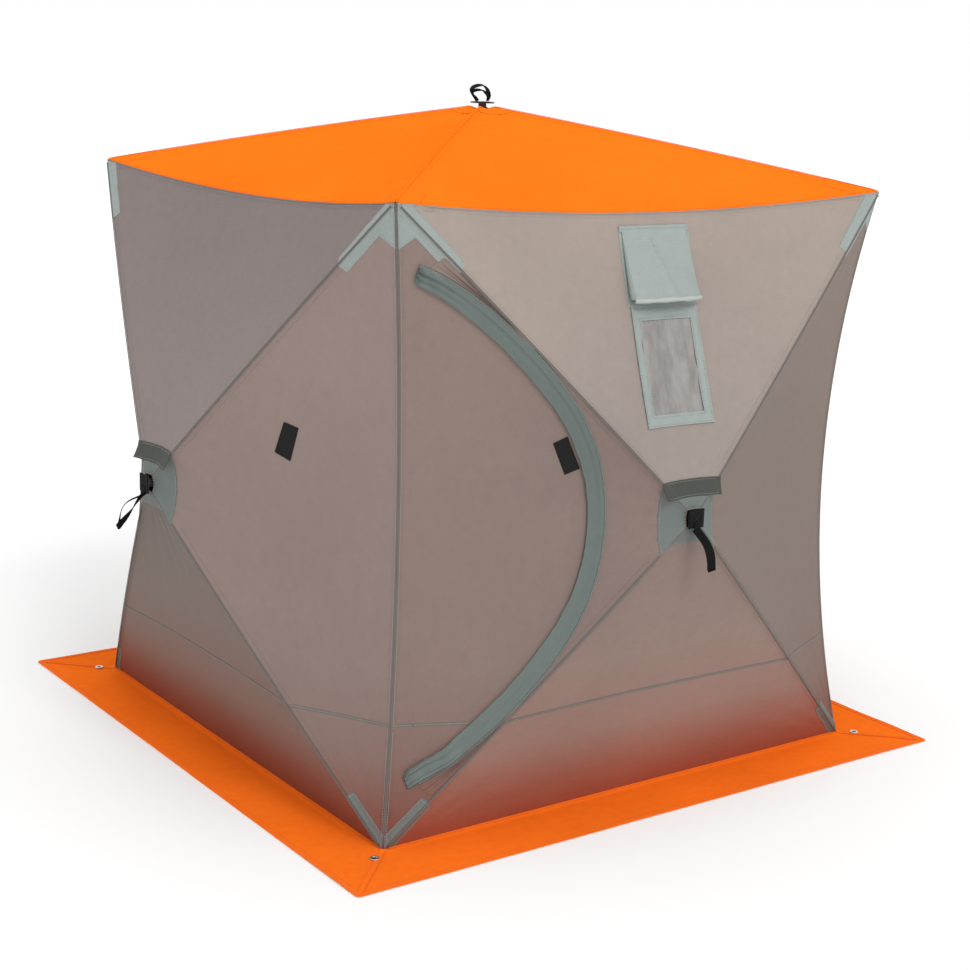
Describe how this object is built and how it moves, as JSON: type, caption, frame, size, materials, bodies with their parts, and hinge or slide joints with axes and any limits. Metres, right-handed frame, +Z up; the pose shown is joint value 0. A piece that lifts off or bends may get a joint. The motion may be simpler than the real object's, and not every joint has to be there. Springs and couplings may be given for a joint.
{
  "type": "ice fishing shelter",
  "caption": "Cube-shaped pop-up ice fishing shelter: cloth walls and roof held out by sprung rods on hubs, with a side door, a small window, a vent and a snow skirt.",
  "frame": {"origin": "on the ground at the middle of the footprint", "axes": "+Z up; the front wall with the door and the window faces -Y; +X to the right seen from the front"},
  "size_m": [2.0764, 1.9624, 1.7544],
  "materials": {
    "wall_cloth": "coated polyester weave, warm grey-brown",
    "roof_cloth": "coated polyester weave, bright orange",
    "skirt_cloth": "coated polyester weave, red-orange",
    "binding_cloth": "teal-grey coarse weave",
    "pull_webbing": "black woven webbing",
    "hub_plastic": "black moulded plastic",
    "rod_fibre": "dark glass-fibre rod",
    "window_film": "clear flexible film, slightly wrinkled",
    "zip_metal": "die-cast slider"
  },
  "bodies": {
    "base": {"snow_skirt": "skirt_cloth"},
    "front_hub": {"front_hub": "hub_plastic"},
    "front_facet_a": {"front_facet_a": "wall_cloth", "storm_flap": "binding_cloth", "zip_slider": "zip_metal"},
    "front_facet_b": {"front_facet_b": "wall_cloth", "window_film": "window_film", "window_frame": "binding_cloth"},
    "front_facet_c": {"front_facet_c": "wall_cloth"},
    "front_facet_d": {"front_facet_d": "wall_cloth"},
    "front_rod_1": {"front_rod_1": "rod_fibre"},
    "front_rod_2": {"front_rod_2": "rod_fibre"},
    "front_rod_3": {"front_rod_3": "rod_fibre"},
    "front_rod_4": {"front_rod_4": "rod_fibre"},
    "left_hub": {"left_hub": "hub_plastic"},
    "left_facet_a": {"left_facet_a": "wall_cloth"},
    "left_facet_b": {"left_facet_b": "wall_cloth"},
    "left_facet_c": {"left_facet_c": "wall_cloth"},
    "left_facet_d": {"left_facet_d": "wall_cloth"},
    "left_rod_1": {"left_rod_1": "rod_fibre"},
    "left_rod_2": {"left_rod_2": "rod_fibre"},
    "left_rod_3": {"left_rod_3": "rod_fibre"},
    "left_rod_4": {"left_rod_4": "rod_fibre"},
    "back_hub": {"back_hub": "hub_plastic"},
    "back_facet_a": {"back_facet_a": "wall_cloth"},
    "back_facet_b": {"back_facet_b": "wall_cloth"},
    "back_facet_c": {"back_facet_c": "wall_cloth"},
    "back_facet_d": {"back_facet_d": "wall_cloth"},
    "back_rod_1": {"back_rod_1": "rod_fibre"},
    "back_rod_2": {"back_rod_2": "rod_fibre"},
    "back_rod_3": {"back_rod_3": "rod_fibre"},
    "back_rod_4": {"back_rod_4": "rod_fibre"},
    "right_hub": {"right_hub": "hub_plastic"},
    "right_facet_a": {"right_facet_a": "wall_cloth"},
    "right_facet_b": {"right_facet_b": "wall_cloth"},
    "right_facet_c": {"right_facet_c": "wall_cloth"},
    "right_facet_d": {"right_facet_d": "wall_cloth"},
    "right_rod_1": {"right_rod_1": "rod_fibre"},
    "right_rod_2": {"right_rod_2": "rod_fibre"},
    "right_rod_3": {"right_rod_3": "rod_fibre"},
    "right_rod_4": {"right_rod_4": "rod_fibre"},
    "roof_hub": {"roof_hub": "hub_plastic", "roof_pull_loop": "pull_webbing"},
    "roof_facet_a": {"roof_facet_a": "roof_cloth"},
    "roof_facet_b": {"roof_facet_b": "roof_cloth"},
    "roof_facet_c": {"roof_facet_c": "roof_cloth"},
    "roof_facet_d": {"roof_facet_d": "roof_cloth"},
    "roof_rod_1": {"roof_rod_1": "rod_fibre"},
    "roof_rod_2": {"roof_rod_2": "rod_fibre"},
    "roof_rod_3": {"roof_rod_3": "rod_fibre"},
    "roof_rod_4": {"roof_rod_4": "rod_fibre"},
    "door": {"door_panel": "wall_cloth"},
    "vent_hood": {"vent_hood": "binding_cloth"},
    "vent_prop": {"vent_prop": "hub_plastic"},
    "zip_pull": {"zip_pull": "hub_plastic"},
    "front_loop": {"front_pull_loop": "pull_webbing"},
    "left_loop": {"left_pull_loop": "pull_webbing"},
    "back_loop": {"back_pull_loop": "pull_webbing"},
    "right_loop": {"right_pull_loop": "pull_webbing"}
  },
  "joints": [
    {"name": "front_hub_pop", "type": "slide", "parent": "base", "child": "front_hub", "axis": [0, -1, 0], "range_m": [-0.35651, 0], "deforming": ["front_facet_a", "front_facet_b", "front_facet_c", "front_facet_d"]},
    {"name": "front_fold_a", "type": "hinge", "parent": "base", "child": "front_facet_a", "pos_m": [-0.75, -0.75, 0.756], "axis": [0, 0, -1], "range_deg": [-27.47, 0.05], "deforming": ["front_facet_a"]},
    {"name": "front_fold_b", "type": "hinge", "parent": "base", "child": "front_facet_b", "pos_m": [0, -0.75, 1.506], "axis": [-1, 0, 0], "range_deg": [-27.47, 0.05], "deforming": ["front_facet_b"]},
    {"name": "front_fold_c", "type": "hinge", "parent": "base", "child": "front_facet_c", "pos_m": [0.75, -0.75, 0.756], "axis": [0, 0, 1], "range_deg": [-27.47, 0.05], "deforming": ["front_facet_c"]},
    {"name": "front_fold_d", "type": "hinge", "parent": "base", "child": "front_facet_d", "pos_m": [0, -0.75, 0.006], "axis": [1, 0, 0], "range_deg": [-27.47, 0.05], "deforming": ["front_facet_d"]},
    {"name": "front_rod_swing_1", "type": "hinge", "parent": "front_hub", "child": "front_rod_1", "pos_m": [0.02404, -0.90149, 0.78004], "axis": [-0.7071, 0, 0.7071], "range_deg": [-19.57, 0.05]},
    {"name": "front_rod_swing_2", "type": "hinge", "parent": "front_hub", "child": "front_rod_2", "pos_m": [-0.02404, -0.90149, 0.78004], "axis": [-0.7071, 0, -0.7071], "range_deg": [-19.57, 0.05]},
    {"name": "front_rod_swing_3", "type": "hinge", "parent": "front_hub", "child": "front_rod_3", "pos_m": [-0.02404, -0.90149, 0.73196], "axis": [0.7071, 0, -0.7071], "range_deg": [-19.57, 0.05]},
    {"name": "front_rod_swing_4", "type": "hinge", "parent": "front_hub", "child": "front_rod_4", "pos_m": [0.02404, -0.90149, 0.73196], "axis": [0.7071, 0, 0.7071], "range_deg": [-19.57, 0.05]},
    {"name": "left_hub_pop", "type": "slide", "parent": "base", "child": "left_hub", "axis": [-1, 0, 0], "range_m": [-0.4688, 0], "deforming": ["left_facet_a", "left_facet_b", "left_facet_c", "left_facet_d"]},
    {"name": "left_fold_a", "type": "hinge", "parent": "base", "child": "left_facet_a", "pos_m": [-0.75, 0.75, 0.756], "axis": [0, 0, -1], "range_deg": [-35.54, 0.05], "deforming": ["left_facet_a"]},
    {"name": "left_fold_b", "type": "hinge", "parent": "base", "child": "left_facet_b", "pos_m": [-0.75, 0, 1.506], "axis": [0, 1, 0], "range_deg": [-35.54, 0.05], "deforming": ["left_facet_b"]},
    {"name": "left_fold_c", "type": "hinge", "parent": "base", "child": "left_facet_c", "pos_m": [-0.75, -0.75, 0.756], "axis": [0, 0, 1], "range_deg": [-35.54, 0.05], "deforming": ["left_facet_c"]},
    {"name": "left_fold_d", "type": "hinge", "parent": "base", "child": "left_facet_d", "pos_m": [-0.75, 0, 0.006], "axis": [0, -1, 0], "range_deg": [-35.54, 0.05], "deforming": ["left_facet_d"]},
    {"name": "left_rod_swing_1", "type": "hinge", "parent": "left_hub", "child": "left_rod_1", "pos_m": [-0.95666, -0.02404, 0.78004], "axis": [0, 0.7071, 0.7071], "range_deg": [-25.65, 0.05]},
    {"name": "left_rod_swing_2", "type": "hinge", "parent": "left_hub", "child": "left_rod_2", "pos_m": [-0.95666, 0.02404, 0.78004], "axis": [0, 0.7071, -0.7071], "range_deg": [-25.65, 0.05]},
    {"name": "left_rod_swing_3", "type": "hinge", "parent": "left_hub", "child": "left_rod_3", "pos_m": [-0.95666, 0.02404, 0.73196], "axis": [0, -0.7071, -0.7071], "range_deg": [-25.65, 0.05]},
    {"name": "left_rod_swing_4", "type": "hinge", "parent": "left_hub", "child": "left_rod_4", "pos_m": [-0.95666, -0.02404, 0.73196], "axis": [0, -0.7071, 0.7071], "range_deg": [-25.65, 0.05]},
    {"name": "back_hub_pop", "type": "slide", "parent": "base", "child": "back_hub", "axis": [0, 1, 0], "range_m": [-0.35651, 0], "deforming": ["back_facet_a", "back_facet_b", "back_facet_c", "back_facet_d"]},
    {"name": "back_fold_a", "type": "hinge", "parent": "base", "child": "back_facet_a", "pos_m": [0.75, 0.75, 0.756], "axis": [0, 0, -1], "range_deg": [-27.47, 0.05], "deforming": ["back_facet_a"]},
    {"name": "back_fold_b", "type": "hinge", "parent": "base", "child": "back_facet_b", "pos_m": [0, 0.75, 1.506], "axis": [1, 0, 0], "range_deg": [-27.47, 0.05], "deforming": ["back_facet_b"]},
    {"name": "back_fold_c", "type": "hinge", "parent": "base", "child": "back_facet_c", "pos_m": [-0.75, 0.75, 0.756], "axis": [0, 0, 1], "range_deg": [-27.47, 0.05], "deforming": ["back_facet_c"]},
    {"name": "back_fold_d", "type": "hinge", "parent": "base", "child": "back_facet_d", "pos_m": [0, 0.75, 0.006], "axis": [-1, 0, 0], "range_deg": [-27.47, 0.05], "deforming": ["back_facet_d"]},
    {"name": "back_rod_swing_1", "type": "hinge", "parent": "back_hub", "child": "back_rod_1", "pos_m": [-0.02404, 0.90149, 0.78004], "axis": [0.7071, 0, 0.7071], "range_deg": [-19.57, 0.05]},
    {"name": "back_rod_swing_2", "type": "hinge", "parent": "back_hub", "child": "back_rod_2", "pos_m": [0.02404, 0.90149, 0.78004], "axis": [0.7071, 0, -0.7071], "range_deg": [-19.57, 0.05]},
    {"name": "back_rod_swing_3", "type": "hinge", "parent": "back_hub", "child": "back_rod_3", "pos_m": [0.02404, 0.90149, 0.73196], "axis": [-0.7071, 0, -0.7071], "range_deg": [-19.57, 0.05]},
    {"name": "back_rod_swing_4", "type": "hinge", "parent": "back_hub", "child": "back_rod_4", "pos_m": [-0.02404, 0.90149, 0.73196], "axis": [-0.7071, 0, 0.7071], "range_deg": [-19.57, 0.05]},
    {"name": "right_hub_pop", "type": "slide", "parent": "base", "child": "right_hub", "axis": [1, 0, 0], "range_m": [-0.4688, 0], "deforming": ["right_facet_a", "right_facet_b", "right_facet_c", "right_facet_d"]},
    {"name": "right_fold_a", "type": "hinge", "parent": "base", "child": "right_facet_a", "pos_m": [0.75, -0.75, 0.756], "axis": [0, 0, -1], "range_deg": [-35.54, 0.05], "deforming": ["right_facet_a"]},
    {"name": "right_fold_b", "type": "hinge", "parent": "base", "child": "right_facet_b", "pos_m": [0.75, 0, 1.506], "axis": [0, -1, 0], "range_deg": [-35.54, 0.05], "deforming": ["right_facet_b"]},
    {"name": "right_fold_c", "type": "hinge", "parent": "base", "child": "right_facet_c", "pos_m": [0.75, 0.75, 0.756], "axis": [0, 0, 1], "range_deg": [-35.54, 0.05], "deforming": ["right_facet_c"]},
    {"name": "right_fold_d", "type": "hinge", "parent": "base", "child": "right_facet_d", "pos_m": [0.75, 0, 0.006], "axis": [0, 1, 0], "range_deg": [-35.54, 0.05], "deforming": ["right_facet_d"]},
    {"name": "right_rod_swing_1", "type": "hinge", "parent": "right_hub", "child": "right_rod_1", "pos_m": [0.95666, 0.02404, 0.78004], "axis": [0, -0.7071, 0.7071], "range_deg": [-25.65, 0.05]},
    {"name": "right_rod_swing_2", "type": "hinge", "parent": "right_hub", "child": "right_rod_2", "pos_m": [0.95666, -0.02404, 0.78004], "axis": [0, -0.7071, -0.7071], "range_deg": [-25.65, 0.05]},
    {"name": "right_rod_swing_3", "type": "hinge", "parent": "right_hub", "child": "right_rod_3", "pos_m": [0.95666, -0.02404, 0.73196], "axis": [0, 0.7071, -0.7071], "range_deg": [-25.65, 0.05]},
    {"name": "right_rod_swing_4", "type": "hinge", "parent": "right_hub", "child": "right_rod_4", "pos_m": [0.95666, 0.02404, 0.73196], "axis": [0, 0.7071, 0.7071], "range_deg": [-25.65, 0.05]},
    {"name": "roof_hub_pop", "type": "slide", "parent": "base", "child": "roof_hub", "axis": [0, 0, 1], "range_m": [-0.36045, 0], "deforming": ["roof_facet_a", "roof_facet_b", "roof_facet_c", "roof_facet_d"]},
    {"name": "roof_fold_a", "type": "hinge", "parent": "base", "child": "roof_facet_a", "pos_m": [-0.75, 0, 1.506], "axis": [0, -1, 0], "range_deg": [-27.76, 0.05], "deforming": ["roof_facet_a"]},
    {"name": "roof_fold_b", "type": "hinge", "parent": "base", "child": "roof_facet_b", "pos_m": [0, 0.75, 1.506], "axis": [-1, 0, 0], "range_deg": [-27.76, 0.05], "deforming": ["roof_facet_b"]},
    {"name": "roof_fold_c", "type": "hinge", "parent": "base", "child": "roof_facet_c", "pos_m": [0.75, 0, 1.506], "axis": [0, 1, 0], "range_deg": [-27.76, 0.05], "deforming": ["roof_facet_c"]},
    {"name": "roof_fold_d", "type": "hinge", "parent": "base", "child": "roof_facet_d", "pos_m": [0, -0.75, 1.506], "axis": [1, 0, 0], "range_deg": [-27.76, 0.05], "deforming": ["roof_facet_d"]},
    {"name": "roof_rod_swing_1", "type": "hinge", "parent": "roof_hub", "child": "roof_rod_1", "pos_m": [0.02404, 0.02404, 1.65942], "axis": [-0.7071, 0.7071, 0], "range_deg": [-19.79, 0.05]},
    {"name": "roof_rod_swing_2", "type": "hinge", "parent": "roof_hub", "child": "roof_rod_2", "pos_m": [-0.02404, 0.02404, 1.65942], "axis": [-0.7071, -0.7071, 0], "range_deg": [-19.79, 0.05]},
    {"name": "roof_rod_swing_3", "type": "hinge", "parent": "roof_hub", "child": "roof_rod_3", "pos_m": [-0.02404, -0.02404, 1.65942], "axis": [0.7071, -0.7071, 0], "range_deg": [-19.79, 0.05]},
    {"name": "roof_rod_swing_4", "type": "hinge", "parent": "roof_hub", "child": "roof_rod_4", "pos_m": [0.02404, -0.02404, 1.65942], "axis": [0.7071, 0.7071, 0], "range_deg": [-19.79, 0.05]},
    {"name": "door_fold", "type": "hinge", "parent": "front_facet_a", "child": "door", "pos_m": [-0.66, -0.7479, 0.756], "axis": [0, 0, -1], "range_deg": [0, 225], "deforming": ["door_panel"]},
    {"name": "hood_lift", "type": "hinge", "parent": "front_facet_b", "child": "vent_hood", "pos_m": [0.004, -0.72727, 1.427], "axis": [-1, 0, 0], "range_deg": [0, 16]},
    {"name": "prop_fold", "type": "hinge", "parent": "front_facet_b", "child": "vent_prop", "pos_m": [0.004, -0.76464, 1.3], "axis": [1, 0, 0], "range_deg": [0, 50]},
    {"name": "pull_swing", "type": "hinge", "parent": "front_facet_a", "child": "zip_pull", "pos_m": [-0.58379, -0.78683, 0.22635], "axis": [-0.4385, -0.8732, 0.2126], "range_deg": [-25, 25]},
    {"name": "front_loop_lift", "type": "hinge", "parent": "front_hub", "child": "front_loop", "pos_m": [0, -0.9405, 0.7306], "axis": [-1, 0, 0], "range_deg": [0, 70]},
    {"name": "left_loop_lift", "type": "hinge", "parent": "left_hub", "child": "left_loop", "pos_m": [-0.9975, 0, 0.7306], "axis": [0, 1, 0], "range_deg": [0, 70]},
    {"name": "back_loop_lift", "type": "hinge", "parent": "back_hub", "child": "back_loop", "pos_m": [0, 0.9405, 0.7306], "axis": [1, 0, 0], "range_deg": [0, 70]},
    {"name": "right_loop_lift", "type": "hinge", "parent": "right_hub", "child": "right_loop", "pos_m": [0.9975, 0, 0.7306], "axis": [0, -1, 0], "range_deg": [0, 70]}
  ],
  "couplings": [
    {"joint": "front_fold_a", "follows": "front_hub_pop", "rad_per_m": 1.3426},
    {"joint": "front_fold_b", "follows": "front_hub_pop", "rad_per_m": 1.3426},
    {"joint": "front_fold_c", "follows": "front_hub_pop", "rad_per_m": 1.3426},
    {"joint": "front_fold_d", "follows": "front_hub_pop", "rad_per_m": 1.3426},
    {"joint": "front_rod_swing_1", "follows": "front_hub_pop", "rad_per_m": 0.95579},
    {"joint": "front_rod_swing_2", "follows": "front_hub_pop", "rad_per_m": 0.95579},
    {"joint": "front_rod_swing_3", "follows": "front_hub_pop", "rad_per_m": 0.95579},
    {"joint": "front_rod_swing_4", "follows": "front_hub_pop", "rad_per_m": 0.95579},
    {"joint": "left_fold_a", "follows": "left_hub_pop", "rad_per_m": 1.3213},
    {"joint": "left_fold_b", "follows": "left_hub_pop", "rad_per_m": 1.3213},
    {"joint": "left_fold_c", "follows": "left_hub_pop", "rad_per_m": 1.3213},
    {"joint": "left_fold_d", "follows": "left_hub_pop", "rad_per_m": 1.3213},
    {"joint": "left_rod_swing_1", "follows": "left_hub_pop", "rad_per_m": 0.95317},
    {"joint": "left_rod_swing_2", "follows": "left_hub_pop", "rad_per_m": 0.95317},
    {"joint": "left_rod_swing_3", "follows": "left_hub_pop", "rad_per_m": 0.95317},
    {"joint": "left_rod_swing_4", "follows": "left_hub_pop", "rad_per_m": 0.95317},
    {"joint": "back_fold_a", "follows": "back_hub_pop", "rad_per_m": 1.3426},
    {"joint": "back_fold_b", "follows": "back_hub_pop", "rad_per_m": 1.3426},
    {"joint": "back_fold_c", "follows": "back_hub_pop", "rad_per_m": 1.3426},
    {"joint": "back_fold_d", "follows": "back_hub_pop", "rad_per_m": 1.3426},
    {"joint": "back_rod_swing_1", "follows": "back_hub_pop", "rad_per_m": 0.95579},
    {"joint": "back_rod_swing_2", "follows": "back_hub_pop", "rad_per_m": 0.95579},
    {"joint": "back_rod_swing_3", "follows": "back_hub_pop", "rad_per_m": 0.95579},
    {"joint": "back_rod_swing_4", "follows": "back_hub_pop", "rad_per_m": 0.95579},
    {"joint": "right_fold_a", "follows": "right_hub_pop", "rad_per_m": 1.3213},
    {"joint": "right_fold_b", "follows": "right_hub_pop", "rad_per_m": 1.3213},
    {"joint": "right_fold_c", "follows": "right_hub_pop", "rad_per_m": 1.3213},
    {"joint": "right_fold_d", "follows": "right_hub_pop", "rad_per_m": 1.3213},
    {"joint": "right_rod_swing_1", "follows": "right_hub_pop", "rad_per_m": 0.95317},
    {"joint": "right_rod_swing_2", "follows": "right_hub_pop", "rad_per_m": 0.95317},
    {"joint": "right_rod_swing_3", "follows": "right_hub_pop", "rad_per_m": 0.95317},
    {"joint": "right_rod_swing_4", "follows": "right_hub_pop", "rad_per_m": 0.95317},
    {"joint": "roof_fold_a", "follows": "roof_hub_pop", "rad_per_m": 1.3419},
    {"joint": "roof_fold_b", "follows": "roof_hub_pop", "rad_per_m": 1.3419},
    {"joint": "roof_fold_c", "follows": "roof_hub_pop", "rad_per_m": 1.3419},
    {"joint": "roof_fold_d", "follows": "roof_hub_pop", "rad_per_m": 1.3419},
    {"joint": "roof_rod_swing_1", "follows": "roof_hub_pop", "rad_per_m": 0.95576},
    {"joint": "roof_rod_swing_2", "follows": "roof_hub_pop", "rad_per_m": 0.95576},
    {"joint": "roof_rod_swing_3", "follows": "roof_hub_pop", "rad_per_m": 0.95576},
    {"joint": "roof_rod_swing_4", "follows": "roof_hub_pop", "rad_per_m": 0.95576}
  ]
}
